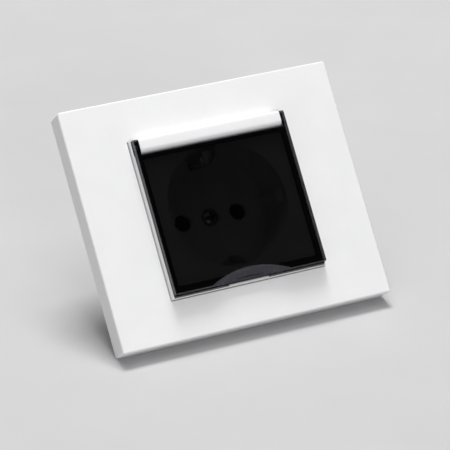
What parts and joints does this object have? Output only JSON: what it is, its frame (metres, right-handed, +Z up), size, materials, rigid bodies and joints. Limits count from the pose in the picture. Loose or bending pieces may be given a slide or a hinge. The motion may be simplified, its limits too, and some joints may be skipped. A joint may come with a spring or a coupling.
{
  "type": "schuko socket with cover",
  "caption": "Flush earthed wall socket in a flat rectangular cover frame, with a smoked see-through flap lid sprung shut on a round hinge bar, claws and screw terminals behind.",
  "frame": {"origin": "centre of the wall screw slots on the wall plane, behind the middle of the plug recess", "axes": "+X to the right seen from the front, +Y into the wall, +Z up; the front faces -Y"},
  "size_m": [0.0914, 0.041, 0.0769],
  "materials": {
    "frame_white": "satin",
    "insert_white": "gloss",
    "smoked_lid": "gloss, see-through smoke",
    "steel": "bright",
    "spring_steel": "dark",
    "nickel": "nickel plated",
    "zinc_steel": "zinc plated",
    "brass": "bright",
    "base_plastic": "matt"
  },
  "bodies": {
    "socket": {"cover_frame": "frame_white", "socket_insert": "insert_white", "lid_spring": "spring_steel", "centre_screw": "nickel", "earth_strap": "nickel", "mounting_yoke": "zinc_steel", "mechanism_base": "base_plastic", "contact_cover": "base_plastic", "cover_rivets": "steel", "yoke_rivets": "steel", "line_contact": "brass", "neutral_contact": "brass", "line_contact_clip": "spring_steel", "neutral_contact_clip": "spring_steel"},
    "lid": {"lid": "smoked_lid", "hinge_pin": "steel"},
    "line_clamp": {"line_clamp": "zinc_steel"},
    "neutral_clamp": {"neutral_clamp": "zinc_steel"},
    "earth_clamp": {"earth_clamp": "zinc_steel"},
    "line_screw": {"line_screw": "steel"},
    "neutral_screw": {"neutral_screw": "steel"},
    "earth_screw": {"earth_screw": "steel"},
    "claw_screw_left": {"claw_screw_left": "steel"},
    "claw_screw_right": {"claw_screw_right": "steel"},
    "claw_nut_left": {"claw_nut_left": "steel"},
    "claw_nut_right": {"claw_nut_right": "steel"},
    "claw_left": {"claw_left": "zinc_steel"},
    "claw_right": {"claw_right": "zinc_steel"}
  },
  "joints": [
    {"name": "lid_hinge", "type": "hinge", "parent": "socket", "child": "lid", "pos_m": [0, -0.0092, 0.02285], "axis": [-1, 0, 0], "range_deg": [0, 98], "stiffness_Nm_per_rad": 0.0012, "springref_deg": -34.38, "deforming": ["lid_spring"]},
    {"name": "line_clamp_slide", "type": "slide", "parent": "socket", "child": "line_clamp", "axis": [0, 1, 0], "range_m": [0, 0.0015]},
    {"name": "line_screw_turn", "type": "hinge", "parent": "line_clamp", "child": "line_screw", "pos_m": [-0.0095, 0.0238, 0.0084], "axis": [0, 1, 0], "range_deg": [0, 1080.5]},
    {"name": "neutral_clamp_slide", "type": "slide", "parent": "socket", "child": "neutral_clamp", "axis": [0, 1, 0], "range_m": [0, 0.0015]},
    {"name": "neutral_screw_turn", "type": "hinge", "parent": "neutral_clamp", "child": "neutral_screw", "pos_m": [0.0095, 0.0238, 0.0084], "axis": [0, 1, 0], "range_deg": [0, 1080.5]},
    {"name": "earth_clamp_slide", "type": "slide", "parent": "socket", "child": "earth_clamp", "axis": [0, 1, 0], "range_m": [0, 0.0015]},
    {"name": "earth_screw_turn", "type": "hinge", "parent": "earth_clamp", "child": "earth_screw", "pos_m": [0, 0.0238, 0.0084], "axis": [0, 1, 0], "range_deg": [0, 1080.5]},
    {"name": "claw_screw_left_turn", "type": "hinge", "parent": "socket", "child": "claw_screw_left", "pos_m": [-0.0239, 0, 0.0086], "axis": [0, 1, 0], "range_deg": [0, 2161]},
    {"name": "claw_nut_left_slide", "type": "slide", "parent": "socket", "child": "claw_nut_left", "axis": [0, -1, 0], "range_m": [0, 0.003]},
    {"name": "claw_left_swing", "type": "hinge", "parent": "claw_nut_left", "child": "claw_left", "pos_m": [-0.0239, 0.0143, 0.0086], "axis": [0, 0, 1], "range_deg": [0, 22.1]},
    {"name": "claw_screw_right_turn", "type": "hinge", "parent": "socket", "child": "claw_screw_right", "pos_m": [0.0239, 0, -0.0086], "axis": [0, 1, 0], "range_deg": [0, 2161]},
    {"name": "claw_nut_right_slide", "type": "slide", "parent": "socket", "child": "claw_nut_right", "axis": [0, -1, 0], "range_m": [0, 0.003]},
    {"name": "claw_right_swing", "type": "hinge", "parent": "claw_nut_right", "child": "claw_right", "pos_m": [0.0239, 0.0143, -0.0086], "axis": [0, 0, -1], "range_deg": [0, 22.1]}
  ],
  "couplings": [
    {"joint": "line_screw_turn", "follows": "line_clamp_slide", "rad_per_m": 12566},
    {"joint": "neutral_screw_turn", "follows": "neutral_clamp_slide", "rad_per_m": 12566},
    {"joint": "earth_screw_turn", "follows": "earth_clamp_slide", "rad_per_m": 12566},
    {"joint": "claw_screw_left_turn", "follows": "claw_nut_left_slide", "rad_per_m": 12566},
    {"joint": "claw_left_swing", "follows": "claw_nut_left_slide", "rad_per_m": 127.99},
    {"joint": "claw_screw_right_turn", "follows": "claw_nut_right_slide", "rad_per_m": 12566},
    {"joint": "claw_right_swing", "follows": "claw_nut_right_slide", "rad_per_m": 127.99}
  ]
}
